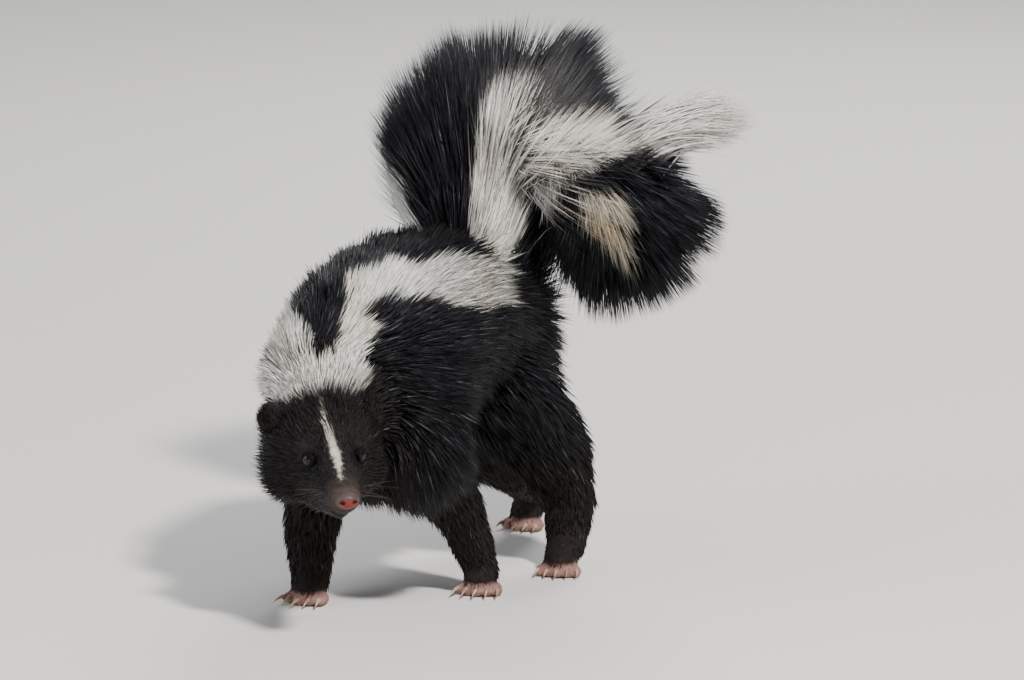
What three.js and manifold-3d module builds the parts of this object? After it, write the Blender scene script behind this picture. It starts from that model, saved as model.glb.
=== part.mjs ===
// A life-size striped skunk in mid-step: back arched, head turned to its left, tail raised and curled over.
// Millimetres, +Z up. The body faces -Y, so its left side is +X. The floor is Z = 0.
// The solids reach out to the tips of the coat.
import * as THREE from "three";
import { mergeVertices } from "three/addons/utils/BufferGeometryUtils.js";
import Module from "manifold-3d";

const wasm = await Module();
wasm.setup();

// Gap that neighbouring pieces keep, and the grid that finished points lie on
const GAP = 0.3;
const SNAP = 0.01;

// Grid cells of the smooth solids: smaller cells give finer facets
const TRUNK_CELL = 12;
const NECK_CELL = 10;
const HEAD_CELL = 5.2;
const LEG_CELL = 9.7;
const TAIL_CELL = 13.4;

// How softly neighbouring masses flow into each other
const TRUNK_BLEND = 18;
const HEAD_BLEND = 8;

// Masses of the trunk as chains of balls: x, y, z of the centre, then the radius
const SPINE = [
  [-14, -62, 125, 56],
  [-21, -35, 131, 59],
  [-29, -5, 131, 59],
  [-33, 20, 125, 55],
  [-34, 42, 115, 49],
];
const NECK = [
  [-14, -64, 123, 54],
  [-15, -94, 118, 42],
  [-2, -118, 102, 30],
];
const CHEST = [
  [-18, -80, 90, 37],
  [16, -68, 86, 36],
];
const PLUME = [
  [-36, 52, 134, 38],
  [-50, 84, 178, 52],
  [-42, 96, 206, 58],
  [-14, 104, 214, 58],
  [16, 98, 198, 52],
  [35, 92, 180, 47],
];

// The tail's plume: the smooth core's share of its radius, and the locks that stand round the core
const CORE_SHARE = 0.5;
const SEED = 7;
const PLUME_LOCKS = 64;
const PLUME_START = 0.17;
const END_SHARE = 0.16;
const LOCK_LENGTH = { root: 67, end: 42 };
const LOCK_TWIST = 65;
const LOCK_SIZES = [
  { reach: 0.85, width: 36, thick: 6 },
  { reach: 1, width: 32, thick: 5.5 },
  { reach: 1.14, width: 28, thick: 5 },
];
const LOCK_STEPS = [0, 0.42, 0.76];
const LOCK_SINK = 6;
const LEAN = { root: 62, end: 50 };
const LEAN_SPREAD = 22;

// Locks of the white tuft at the tail's end: tip points, all from one root
const TUFT_ROOT = [30, 98, 196];
const TUFT_TIPS = [
  [82, 124, 240],
  [78, 132, 229],
  [68, 118, 248],
  [86, 114, 229],
];

// Long locks that lie back along the two stripes: how far each stripe runs to the side of the spine
const STRIPE_ANGLES = [34, -36];
const STRIPE_LOCKS = 12;
const STRIPE_LOCK = { length: 40, width: 17, thick: 4.5 };

// Limbs, each from the trunk down to the ball of the paw
const LIMBS = {
  foreleg_right: [
    [-30, -70, 92, 32],
    [-36, -84, 56, 22],
    [-36, -88, 30, 15.5],
    [-33, -92, 12, 11.5],
    [-31, -98, 7, 9.5],
  ],
  foreleg_left: [
    [10, -60, 95, 34],
    [14, -44, 66, 24],
    [20, -30, 38, 15],
    [27, -24, 13, 11],
    [29, -28, 7, 9.5],
  ],
  hindleg_right: [
    [-46, 40, 92, 40],
    [-38, 58, 64, 30],
    [-32, 86, 42, 19],
    [-40, 116, 22, 12],
    [-42, 110, 8, 9.5],
  ],
  hindleg_left: [
    [-4, 38, 92, 40],
    [16, 50, 64, 28],
    [26, 56, 36, 17],
    [29, 50, 13, 12],
    [37, 32, 7, 9.5],
  ],
};

// Paws: where the toes meet the paw, the way they point in degrees from -Y towards +X, and their reach
const PAWS = {
  foreleg_right: { at: [-31, -100], turn: 8, toe: 8, claw: 8 },
  foreleg_left: { at: [30, -30], turn: 22, toe: 8, claw: 8 },
  hindleg_right: { at: [-42, 106], turn: 6, toe: 7, claw: 5 },
  hindleg_left: { at: [39, 28], turn: 26, toe: 7, claw: 5 },
};
const TOES = 5;
const TOE_SPACING = 4.9;
const TOE_RADIUS = 3.3;
const CLAW_RADIUS = 1.5;

// Where each limb parts from the trunk: a box under this corner height, between these walls
const LIMB_TOP = 62;
const LIMB_WALLS = {
  foreleg_right: [-80, -7, -140, -8],
  foreleg_left: [-7, 80, -140, 12],
  hindleg_right: [-100, -9, 12, 170],
  hindleg_left: [-9, 100, 12, 170],
};

// Where the head ends in its own frame, and the upright plane where the neck meets the trunk
const HEAD_REAR = 14;
const HEAD_SIDE = 38;
const NECK_REAR = [0, -80, 120];
const NECK_TURN = 15;

// The head's own frame: it faces -Y and turns to its left
const HEAD_AT = [5, -131, 92];
const HEAD_YAW = 50;
const HEAD_PITCH = 5;
const HEAD_ROLL = -2;

// Masses of the head in its own frame
const SKULL = { at: [0, 2, 2], size: [31, 34, 28] };
const CHEEK = [17, -4, -9, 16];
const MUZZLE = [
  [0, -10, 2, 23],
  [0, -35, -5, 14],
  [0, -52, -9, 10],
];
const JAW = [
  [0, -8, -17, 13],
  [0, -43, -17, 6.5],
];
const EYE = { at: [12.4, -29.5, 5.6], radius: 4.2 };
const LID = { radius: 4.3, bead: 1.3 };
const NOSE = { at: [0, -59.5, -8.5], size: [6.4, 4.8, 4.6] };
const NOSTRIL = { at: [2.7, -63.6, -8.6], size: [1.2, 2.5, 1.3] };
const EAR = { at: [28.5, 0, 19], size: [5.2, 8, 9], turn: -32, cup: 3 };
const MOUTH = [
  [0, -59.5, -15.6],
  [5.5, -57, -15.4],
  [9, -50, -14.6],
  [11, -41, -15],
  [13.5, -33, -17.5],
];
const MOUTH_GROOVE = 1.1;

const rad = THREE.MathUtils.degToRad;
const headFrame = new THREE.Matrix4().makeRotationFromEuler(
  new THREE.Euler(rad(HEAD_PITCH), rad(HEAD_ROLL), rad(HEAD_YAW), "ZXY"),
);
headFrame.setPosition(...HEAD_AT);
const intoHead = headFrame.clone().invert();

// Distances
function ballChain(p, chain) {
  let nearest = Infinity;
  for (let i = 0; i + 1 < chain.length; i += 1) {
    const [ax, ay, az, ar] = chain[i];
    const [bx, by, bz, br] = chain[i + 1];
    const [ux, uy, uz] = [bx - ax, by - ay, bz - az];
    const [qx, qy, qz] = [p.x - ax, p.y - ay, p.z - az];
    const along = (qx * ux + qy * uy + qz * uz) / (ux * ux + uy * uy + uz * uz);
    const h = THREE.MathUtils.clamp(along, 0, 1);
    const reach = Math.hypot(qx - h * ux, qy - h * uy, qz - h * uz);
    nearest = Math.min(nearest, reach - ar - h * (br - ar));
  }
  return nearest;
}

function ellipsoid(p, centre, size) {
  const [x, y, z] = [p.x - centre[0], p.y - centre[1], p.z - centre[2]];
  const scaled = Math.hypot(x / size[0], y / size[1], z / size[2]);
  const squared = Math.hypot(x / size[0] ** 2, y / size[1] ** 2, z / size[2] ** 2);
  return (scaled * (scaled - 1)) / Math.max(squared, 1e-9);
}

function blend(a, b, softness) {
  const h = Math.max(softness - Math.abs(a - b), 0) / softness;
  return Math.min(a, b) - (h * h * softness) / 4;
}

function headDistance(world) {
  const p = world.clone().applyMatrix4(intoHead);
  const mirrored = p.clone().setX(Math.abs(p.x));
  let d = ellipsoid(p, SKULL.at, SKULL.size);
  d = blend(d, ballChain(p, MUZZLE), HEAD_BLEND);
  d = blend(d, ballChain(mirrored, [CHEEK, CHEEK.with(0, CHEEK[0] - 1)]), HEAD_BLEND);
  return blend(d, ballChain(p, JAW), HEAD_BLEND / 2);
}

function bodyDistance(p) {
  let d = ballChain(p, SPINE);
  d = blend(d, ballChain(p, NECK), TRUNK_BLEND);
  d = blend(d, ballChain(p, CHEST), TRUNK_BLEND);
  for (const limb of Object.values(LIMBS)) {
    d = blend(d, ballChain(p, limb), TRUNK_BLEND / 2);
  }
  d = blend(d, ballChain(p, PLUME.slice(0, 2)), TRUNK_BLEND);
  return blend(d, headDistance(p), TRUNK_BLEND / 2);
}

const coreDistance = (p) => ballChain(p, PLUME.map((ball) => ball.with(3, ball[3] * CORE_SHARE)));

// Solids
function toSolid(geometry) {
  const bare = new THREE.BufferGeometry();
  bare.setAttribute("position", geometry.getAttribute("position"));
  bare.setIndex(geometry.getIndex());
  const merged = mergeVertices(bare, 1e-4);
  const mesh = new wasm.Mesh({
    numProp: 3,
    vertProperties: new Float32Array(merged.getAttribute("position").array),
    triVerts: new Uint32Array(merged.getIndex().array),
  });
  mesh.merge();
  return new wasm.Manifold(mesh);
}

// Closed skin of a distance function inside a box, one point in each grid cell that the surface crosses
function skinOf(distance, low, high, cell) {
  const count = low.map((edge, axis) => Math.ceil((high[axis] - edge) / cell) + 1);
  const stride = [1, count[0], count[0] * count[1]];
  const value = new Float32Array(count[0] * count[1] * count[2]);
  const p = new THREE.Vector3();
  for (let k = 0; k < count[2]; k += 1) {
    for (let j = 0; j < count[1]; j += 1) {
      for (let i = 0; i < count[0]; i += 1) {
        const rim = [i, j, k].some((n, axis) => n === 0 || n === count[axis] - 1);
        p.set(low[0] + i * cell, low[1] + j * cell, low[2] + k * cell);
        value[i + j * stride[1] + k * stride[2]] = rim ? cell : distance(p);
      }
    }
  }

  const corners = [0, 1, 2, 3, 4, 5, 6, 7].map((n) => [n & 1, (n >> 1) & 1, n >> 2]);
  const edges = [];
  corners.forEach((corner, from) => {
    [0, 1, 2].filter((axis) => corner[axis] === 0).forEach((axis) => edges.push([from, from | (1 << axis), axis]));
  });
  const points = [];
  const pointOf = new Map();
  const faces = [];
  for (let k = 0; k + 1 < count[2]; k += 1) {
    for (let j = 0; j + 1 < count[1]; j += 1) {
      for (let i = 0; i + 1 < count[0]; i += 1) {
        const at = i + j * stride[1] + k * stride[2];
        const around = corners.map(([a, b, c]) => value[at + a + b * stride[1] + c * stride[2]]);
        const sum = [0, 0, 0];
        let crossings = 0;
        for (const [from, to, axis] of edges) {
          if (around[from] < 0 === around[to] < 0) continue;
          const t = around[from] / (around[from] - around[to]);
          corners[from].forEach((n, side) => {
            sum[side] += n + (side === axis ? t : 0);
          });
          crossings += 1;
        }
        if (crossings === 0) continue;
        pointOf.set(at, points.length / 3);
        [i, j, k].forEach((n, axis) => points.push(low[axis] + cell * (n + sum[axis] / crossings)));
      }
    }
  }
  for (const at of pointOf.keys()) {
    for (const axis of [0, 1, 2]) {
      const inside = value[at] < 0;
      if (inside === value[at + stride[axis]] < 0) continue;
      const u = stride[(axis + 1) % 3];
      const v = stride[(axis + 2) % 3];
      const ring = [at, at - u, at - u - v, at - v].map((n) => pointOf.get(n));
      if (inside === false) ring.reverse();
      faces.push(ring[0], ring[1], ring[2], ring[0], ring[2], ring[3]);
    }
  }
  const geometry = new THREE.BufferGeometry();
  geometry.setAttribute("position", new THREE.BufferAttribute(new Float32Array(points), 3));
  geometry.setIndex(faces);
  return toSolid(geometry);
}

function largest(solid) {
  return solid.decompose().reduce((a, b) => (b.volume() > a.volume() ? b : a));
}

// Box between two corners, grown on every side, in a frame if one is given
function boxSolid(low, high, grow = 0, frame = null) {
  const size = high.map((edge, axis) => edge - low[axis] + 2 * grow);
  const geometry = new THREE.BoxGeometry(...size);
  geometry.translate(...high.map((edge, axis) => (edge + low[axis]) / 2));
  if (frame) geometry.applyMatrix4(frame);
  return toSolid(geometry);
}

function eggSolid(centre, size, { turn = 0, frame = null, sides = 10, rings = 7 } = {}) {
  const geometry = new THREE.SphereGeometry(1, sides, rings);
  geometry.scale(...size);
  geometry.rotateZ(rad(turn));
  geometry.translate(...centre);
  if (frame) geometry.applyMatrix4(frame);
  return toSolid(geometry);
}

// Round bead along a curve
function beadSolid(points, radius, closed, frame) {
  const curve = new THREE.CatmullRomCurve3(points.map((p) => new THREE.Vector3(...p)), closed);
  const geometry = new THREE.TubeGeometry(curve, closed ? 14 : 12, radius, 5, closed);
  geometry.applyMatrix4(frame);
  if (closed) return toSolid(geometry);
  const ring = geometry.getAttribute("position");
  const capped = [...geometry.getIndex().array];
  const last = ring.count - 6;
  for (let i = 1; i < 4; i += 1) {
    capped.push(0, i, i + 1);
    capped.push(last, last + i + 1, last + i);
  }
  geometry.setIndex(capped);
  return toSolid(geometry);
}

// Numbers from 0 to 1 that are the same on every run
function makeRandom(seed) {
  let state = seed;
  return () => {
    state = (state + 0x6d2b79f5) | 0;
    let t = Math.imul(state ^ (state >>> 15), 1 | state);
    t = (t + Math.imul(t ^ (t >>> 7), 61 | t)) ^ t;
    return ((t ^ (t >>> 14)) >>> 0) / 4294967296;
  };
}
const random = makeRandom(SEED);
const jitter = (spread) => (random() * 2 - 1) * spread;

// Flat tapered lock with a diamond section: it leaves its root along one direction and bends towards another
function lockSolid(root, direction, bend, facing, { length, width, thick }) {
  const points = [];
  const at = (t) => root.clone().addScaledVector(direction, length * t).addScaledVector(bend, length * t * t);
  for (const t of LOCK_STEPS) {
    const along = direction.clone().addScaledVector(bend, 2 * t).normalize();
    const side = along.clone().cross(facing).normalize();
    const up = side.clone().cross(along);
    const taper = 1 - t ** 2.4;
    for (const [axis, half] of [[side, width / 2], [up, thick / 2], [side, -width / 2], [up, -thick / 2]]) {
      points.push(...at(t).addScaledVector(axis, half * taper).toArray());
    }
  }
  points.push(...at(1).toArray());
  const faces = [0, 1, 2, 0, 2, 3];
  const tip = 4 * LOCK_STEPS.length;
  for (let n = 0; n < LOCK_STEPS.length; n += 1) {
    for (let k = 0; k < 4; k += 1) {
      const [a, b] = [4 * n + k, 4 * n + ((k + 1) % 4)];
      if (n + 1 === LOCK_STEPS.length) faces.push(a, tip, b);
      else faces.push(a, a + 4, b + 4, a, b + 4, b);
    }
  }
  const geometry = new THREE.BufferGeometry();
  geometry.setAttribute("position", new THREE.BufferAttribute(new Float32Array(points), 3));
  geometry.setIndex(faces);
  return toSolid(geometry);
}

// Point, direction and radius at a share of a chain's length
function alongChain(chain, share) {
  const curve = new THREE.CatmullRomCurve3(chain.map((ball) => new THREE.Vector3(ball[0], ball[1], ball[2])));
  const place = share * (chain.length - 1);
  const n = Math.min(Math.floor(place), chain.length - 2);
  return {
    point: curve.getPoint(share),
    tangent: curve.getTangent(share),
    radius: THREE.MathUtils.lerp(chain[n][3], chain[n + 1][3], place - n),
  };
}

// Locks of the plume, wound round the core from its root to its end, where they fan out
function plumeLocks() {
  const locks = [];
  for (let n = 0; n < PLUME_LOCKS; n += 1) {
    const share = (n + 0.5) / PLUME_LOCKS;
    const onEnd = Math.max(0, (share - 1 + END_SHARE) / END_SHARE);
    const onCore = Math.min(1, share / (1 - END_SHARE));
    const { point, tangent, radius } = alongChain(PLUME, THREE.MathUtils.lerp(PLUME_START, 1, onCore));
    const outward = new THREE.Vector3(0.3, -0.8, 0.5).cross(tangent).normalize();
    outward.applyAxisAngle(tangent, n * Math.PI * (3 - Math.sqrt(5)));
    const leanOut = THREE.MathUtils.lerp(LEAN.root, LEAN.end, onCore) + jitter(LEAN_SPREAD);
    const lean = rad(THREE.MathUtils.lerp(leanOut, 8, onEnd ** 0.8));
    const direction = tangent.clone().multiplyScalar(Math.cos(lean)).addScaledVector(outward, Math.sin(lean));
    const size = LOCK_SIZES[n % LOCK_SIZES.length];
    const sunk = radius * CORE_SHARE - LOCK_SINK;
    const root = point.clone().addScaledVector(outward, sunk * Math.sin(lean)).addScaledVector(tangent, sunk * onEnd);
    const bend = tangent.clone().multiplyScalar(0.2 * (1 - onEnd)).add(new THREE.Vector3(0, 0, -0.1));
    const length = THREE.MathUtils.lerp(LOCK_LENGTH.root, LOCK_LENGTH.end, onCore) * (size.reach + jitter(0.05));
    const facing = outward.clone().applyAxisAngle(direction, rad(jitter(LOCK_TWIST)));
    locks.push(lockSolid(root, direction, bend, facing, { ...size, length }));
  }
  const start = new THREE.Vector3(...TUFT_ROOT);
  for (const tip of TUFT_TIPS) {
    const reach = new THREE.Vector3(...tip).sub(start);
    const size = { ...LOCK_SIZES[2], length: reach.length() };
    locks.push(lockSolid(start, reach.clone().normalize(), new THREE.Vector3(), new THREE.Vector3(0, 0, 1), size));
  }
  return locks;
}

// Locks that lie back along a stripe, each sunk at its root into the trunk
function stripeLocks(angle) {
  const locks = [];
  for (let n = 0; n < STRIPE_LOCKS; n += 1) {
    const { point, tangent, radius } = alongChain(SPINE, (n + 0.5) / STRIPE_LOCKS);
    const outward = new THREE.Vector3(0, 0, 1).applyAxisAngle(tangent, rad(angle + jitter(9)));
    const root = point.clone().addScaledVector(outward, radius - STRIPE_LOCK.thick);
    const direction = tangent.clone().addScaledVector(outward, 0.2).normalize();
    const bend = outward.clone().multiplyScalar(-0.12);
    locks.push(lockSolid(root, direction, bend, outward, STRIPE_LOCK));
  }
  return locks;
}

// Frames and boxes that part the body into nodes
const BIG = 400;
const headBox = (grow) => boxSolid([-BIG, -BIG, -BIG], [HEAD_SIDE, HEAD_REAR, BIG], grow, headFrame);
const neckFrame = new THREE.Matrix4().makeRotationZ(rad(NECK_TURN)).setPosition(...NECK_REAR);
const neckBox = (grow) => boxSolid([-BIG, -BIG, -60], [BIG, 0, BIG], grow, neckFrame);
const limbBox = (name, grow) => {
  const [left, right, front, rear] = LIMB_WALLS[name];
  return boxSolid([left, front, -20], [right, rear, LIMB_TOP], grow);
};

function tailCut(at, direction) {
  const frame = new THREE.Matrix4().lookAt(
    new THREE.Vector3(...direction),
    new THREE.Vector3(),
    new THREE.Vector3(0, 1, 0),
  );
  return frame.setPosition(...at);
}
const TAIL_CUTS = [
  tailCut([-37, 75, 158], [-0.31, 0.51, 0.8]),
  tailCut([-22, 103, 210], [0.85, 0.2, 0.45]),
  tailCut([27, 100, 208], [0.95, -0.1, -0.12]),
];
const tailBox = (n, grow) => boxSolid([-BIG, -BIG, 0], [BIG, BIG, BIG], grow, TAIL_CUTS[n]);

// Materials, colours taken from the photograph
function surface(name, colour, roughness) {
  const material = new THREE.MeshStandardMaterial({ color: colour, roughness, metalness: 0 });
  material.name = name;
  return material;
}
const materials = {
  black: surface("black_fur", "#15141a", 0.75),
  brown: surface("brown_black_fur", "#221b18", 0.8),
  white: surface("cream_white_fur", "#ddd8cf", 0.8),
  eye: surface("eye_gloss", "#0a0a0c", 0.08),
  nose: surface("nose_skin", "#8c4f4d", 0.45),
  ear: surface("ear_skin", "#2a211f", 0.75),
};

const group = new THREE.Group();
group.name = "striped_skunk";

// Points snap to a fine grid, so that a cut leaves no sliver: faces that fall flat go, alone or in facing pairs
function snapped(solid) {
  const mesh = solid.getMesh();
  const points = Float32Array.from(mesh.vertProperties, (value) => Math.round(value / SNAP) * SNAP);
  const geometry = new THREE.BufferGeometry();
  geometry.setAttribute("position", new THREE.BufferAttribute(points, 3));
  geometry.setIndex([...mesh.triVerts]);
  const merged = mergeVertices(geometry, SNAP / 10);
  const index = merged.getIndex().array;
  const kept = new Map();
  for (let n = 0; n < index.length; n += 3) {
    const face = [...index.slice(n, n + 3)];
    if (new Set(face).size < 3) continue;
    const key = face.toSorted((a, b) => a - b).join(" ");
    if (kept.delete(key) === false) kept.set(key, face);
  }
  merged.setIndex([...kept.values()].flat());
  return merged;
}

function addNode(name, solid, material) {
  const node = new THREE.Mesh(snapped(solid), material);
  node.name = name;
  group.add(node);
}

// Head with sockets for eyes, nose and ears, lids and the line of the mouth
const mirror = (point, side) => [point[0] * side, point[1], point[2]];
const headLow = [-50, -200, 40];
const headHigh = [70, -60, 190];
let head = skinOf(bodyDistance, headLow, headHigh, HEAD_CELL)
  .intersect(headBox(-GAP / 2))
  .intersect(neckBox(-GAP / 2));
for (const name of Object.keys(LIMBS)) head = head.subtract(limbBox(name, GAP / 2));
const details = {};
const earSockets = [];
for (const [side, word] of [[1, "left"], [-1, "right"]]) {
  const eyeAt = mirror(EYE.at, side);
  const lidRing = Array.from({ length: 8 }, (_, n) => {
    const angle = (n * Math.PI) / 4;
    return [
      eyeAt[0] + side * (1.6 + LID.radius * 0.55 * Math.cos(angle)),
      eyeAt[1] - 1.9 + LID.radius * 0.84 * Math.cos(angle),
      eyeAt[2] + 0.4 + LID.radius * 0.86 * Math.sin(angle),
    ];
  });
  head = head.add(beadSolid(lidRing, LID.bead, true, headFrame));
  const eyeSize = (grow) => [EYE.radius + grow, EYE.radius + grow, EYE.radius + grow];
  head = head.subtract(eggSolid(eyeAt, eyeSize(GAP), { frame: headFrame }));
  details[`eye_${word}`] = eggSolid(eyeAt, eyeSize(0), { frame: headFrame });

  const earAt = mirror(EAR.at, side);
  const turn = EAR.turn * side;
  const grown = EAR.size.map((length) => length + GAP);
  const cupAt = [earAt[0] + side * EAR.cup * 0.9, earAt[1] - EAR.cup, earAt[2] + 0.8];
  const cupSize = EAR.size.map((length) => length * 0.74);
  const socket = eggSolid(earAt, grown, { turn, frame: headFrame });
  earSockets.push(socket);
  head = head.subtract(socket);
  const cup = eggSolid(cupAt, cupSize, { turn, frame: headFrame });
  details[`ear_${word}`] = eggSolid(earAt, EAR.size, { turn, frame: headFrame }).subtract(cup);
}
head = head.subtract(eggSolid(NOSE.at, NOSE.size.map((length) => length + GAP), { frame: headFrame }));
const mouthLine = [...MOUTH.slice(1).reverse().map((p) => mirror(p, -1)), ...MOUTH];
head = head.subtract(beadSolid(mouthLine, MOUTH_GROOVE, false, headFrame));
details.nose = eggSolid(NOSE.at, NOSE.size, { frame: headFrame });
for (const side of [1, -1]) {
  const nostril = eggSolid(mirror(NOSTRIL.at, side), NOSTRIL.size, { frame: headFrame, sides: 8, rings: 6 });
  details.nose = details.nose.subtract(nostril);
}
addNode("head", largest(head), materials.black);
for (const [name, solid] of Object.entries(details)) {
  addNode(name, largest(solid), materials[name.split("_")[0]]);
}

// Neck
let neck = skinOf(bodyDistance, [-75, -170, 50], [65, -60, 180], NECK_CELL)
  .intersect(neckBox(-GAP / 2))
  .subtract(headBox(GAP / 2));
for (const name of Object.keys(LIMBS)) neck = neck.subtract(limbBox(name, GAP / 2));
for (const socket of earSockets) neck = neck.subtract(socket);
addNode("neck", largest(neck), materials.black);

// Trunk
let torso = skinOf(bodyDistance, [-110, -130, 20], [70, 120, 200], TRUNK_CELL);
torso = wasm.Manifold.union([torso, ...STRIPE_ANGLES.flatMap((angle) => stripeLocks(angle))]);
torso = torso.subtract(neckBox(GAP / 2)).subtract(tailBox(0, GAP / 2));
for (const name of Object.keys(LIMBS)) torso = torso.subtract(limbBox(name, GAP / 2));
addNode("torso", largest(torso), materials.black);

// Limbs, with toes and claws joined on and the soles cut flat
function toesOf({ at, turn, toe, claw }) {
  const solids = [];
  for (let n = 0; n < TOES; n += 1) {
    const across = n - (TOES - 1) / 2;
    const spread = turn + across * 7;
    const forward = new THREE.Vector3(Math.sin(rad(spread)), -Math.cos(rad(spread)), 0);
    const sideways = new THREE.Vector3(Math.cos(rad(turn)), Math.sin(rad(turn)), 0);
    const base = new THREE.Vector3(at[0], at[1], TOE_RADIUS - 0.6);
    base.addScaledVector(sideways, across * TOE_SPACING);
    base.addScaledVector(forward, -Math.abs(across) * 1.7);
    const size = [TOE_RADIUS, toe, TOE_RADIUS];
    solids.push(eggSolid(base.toArray(), size, { turn: spread, sides: 6, rings: 5 }));
    const spike = new THREE.ConeGeometry(CLAW_RADIUS, claw + 4, 5);
    spike.rotateX(Math.PI + rad(12));
    spike.rotateZ(rad(spread));
    const tip = base.clone().addScaledVector(forward, toe + claw / 2 - 2.6);
    spike.translate(tip.x, tip.y, TOE_RADIUS + 0.4);
    solids.push(toSolid(spike));
  }
  return solids;
}
for (const name of Object.keys(LIMBS)) {
  const [left, right, front, rear] = LIMB_WALLS[name];
  let limb = skinOf(bodyDistance, [left, front, -12], [right + 6, rear, LIMB_TOP + 12], LEG_CELL);
  limb = limb.intersect(limbBox(name, -GAP / 2));
  limb = wasm.Manifold.union([limb, ...toesOf(PAWS[name])]);
  limb = limb.subtract(boxSolid([-BIG, -BIG, -BIG], [BIG, BIG, 0]));
  addNode(name, largest(limb), materials.brown);
}

// Tail in three lengths
const core = skinOf(coreDistance, [-140, 0, 100], [140, 190, 300], TAIL_CELL);
const plume = wasm.Manifold.union([core, ...plumeLocks()]);
const lengths = ["tail_base", "tail_middle", "tail_tip"];
lengths.forEach((name, n) => {
  let piece = plume.intersect(tailBox(n, -GAP / 2));
  if (n === 1) piece = piece.intersect(tailBox(0, -GAP / 2));
  for (let next = n + 1; next < lengths.length; next += 1) piece = piece.subtract(tailBox(next, GAP / 2));
  addNode(name, largest(piece), n === 0 ? materials.white : materials.black);
});

// The box round the part stands centred on the origin
const box = new THREE.Box3().setFromObject(group);
const centre = box.getCenter(new THREE.Vector3());
for (const node of group.children) node.position.set(-centre.x, -centre.y, 0);

export default group;
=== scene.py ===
"""Looks of the striped skunk: one skin under a coat of solid tufts, with eyes, nose, ears, claws, whiskers.

Sizes are in millimetres, in the same places as the source of the part, and become metres at the end.
The body faces -Y, so its left side is +X.
"""
import math

import bpy
import numpy as np
from mathutils import Matrix, Vector, kdtree


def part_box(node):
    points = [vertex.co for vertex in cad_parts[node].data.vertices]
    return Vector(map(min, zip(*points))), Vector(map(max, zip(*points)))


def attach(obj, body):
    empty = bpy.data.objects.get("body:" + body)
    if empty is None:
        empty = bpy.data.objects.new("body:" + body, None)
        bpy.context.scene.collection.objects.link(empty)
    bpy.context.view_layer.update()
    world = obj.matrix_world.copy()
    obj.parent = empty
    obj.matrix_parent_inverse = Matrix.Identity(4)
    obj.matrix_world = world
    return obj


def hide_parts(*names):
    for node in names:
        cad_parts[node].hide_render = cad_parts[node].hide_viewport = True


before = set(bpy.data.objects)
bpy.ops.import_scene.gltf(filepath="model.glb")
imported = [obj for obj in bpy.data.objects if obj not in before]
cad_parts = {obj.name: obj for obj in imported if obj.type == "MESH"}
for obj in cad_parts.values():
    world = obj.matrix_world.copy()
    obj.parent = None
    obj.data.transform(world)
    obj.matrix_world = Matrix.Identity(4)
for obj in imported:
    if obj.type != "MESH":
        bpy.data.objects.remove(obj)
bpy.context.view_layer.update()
rng = np.random.default_rng(11)

# Masses of the body as chains of balls: x, y, z of the centre, then the radius out to the tips of the coat
SPINE = [
    (-14, -62, 125, 56),
    (-21, -35, 131, 59),
    (-29, -5, 131, 59),
    (-33, 20, 125, 55),
    (-34, 42, 115, 49),
]
NECK = [
    (-14, -64, 123, 54),
    (-15, -94, 118, 42),
    (-2, -118, 102, 30),
]
CHEST = [
    (-18, -80, 90, 37),
    (16, -68, 86, 36),
]
PLUME = [
    (-36, 52, 134, 38),
    (-50, 84, 178, 52),
    (-42, 96, 206, 58),
    (-14, 104, 214, 58),
    (16, 98, 198, 52),
    (35, 92, 180, 47),
]
LIMBS = {
    "foreleg_right": [
        (-30, -70, 92, 32),
        (-36, -84, 56, 22),
        (-36, -88, 30, 15.5),
        (-33, -92, 12, 11.5),
        (-31, -98, 7, 9.5),
    ],
    "foreleg_left": [
        (10, -60, 95, 34),
        (14, -44, 66, 24),
        (20, -30, 38, 15),
        (27, -24, 13, 11),
        (29, -28, 7, 9.5),
    ],
    "hindleg_right": [
        (-46, 40, 92, 40),
        (-38, 58, 64, 30),
        (-32, 86, 42, 19),
        (-40, 116, 22, 12),
        (-42, 110, 8, 9.5),
    ],
    "hindleg_left": [
        (-4, 38, 92, 40),
        (16, 50, 64, 28),
        (26, 56, 36, 17),
        (29, 50, 13, 12),
        (37, 32, 7, 9.5),
    ],
}

# How softly each mass blends with the ones before it, and the height of the flat soles
TRUNK_BLEND = 20
TAIL_BLEND = 16
LIMB_BLEND = 10
HEAD_BLEND = 9
FACE_BLEND = 8
JAW_BLEND = 4
TOE_BLEND = 1.6
SOLE = 0.5

# Depth of the coat over the skin at each ball, the radius of the tail's core, and the least radius left
SPINE_DEPTH = (15, 16, 17, 17, 16)
NECK_DEPTH = (15, 12, 7)
CHEST_DEPTH = (15, 15)
PLUME_CORE = (24, 13, 10, 9, 8, 6)
LIMB_DEPTH = (14, 8, 4, 2, 1.4)
LEAST_RADIUS = 0.8

# Length of the hair at each ball, the way it lies on the chest, and its lean from the skin in degrees
SPINE_HAIR = (25, 27, 29, 31, 33)
NECK_HAIR = (25, 20, 12)
CHEST_HAIR = (24, 26)
CHEST_LIE = np.array((0.1, 0.35, -0.9))
PLUME_HAIR = (40, 66, 74, 72, 64, 56)
LIMB_HAIR = (22, 14, 8, 5, 3)
EAR_HAIR = (3.5, 7)
LEAN = {"trunk": 33.0, "tail": 60.0, "limb": 24.0, "head": 20.0}
SPINE_SAG = 0.3
NECK_SAG = 0.25

# Places of the parts in the order in which the coat's fields are worked out
TAIL_PART = 2
LIMB_PARTS = (4, 5, 6, 7)
HEAD_PART = 8

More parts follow.
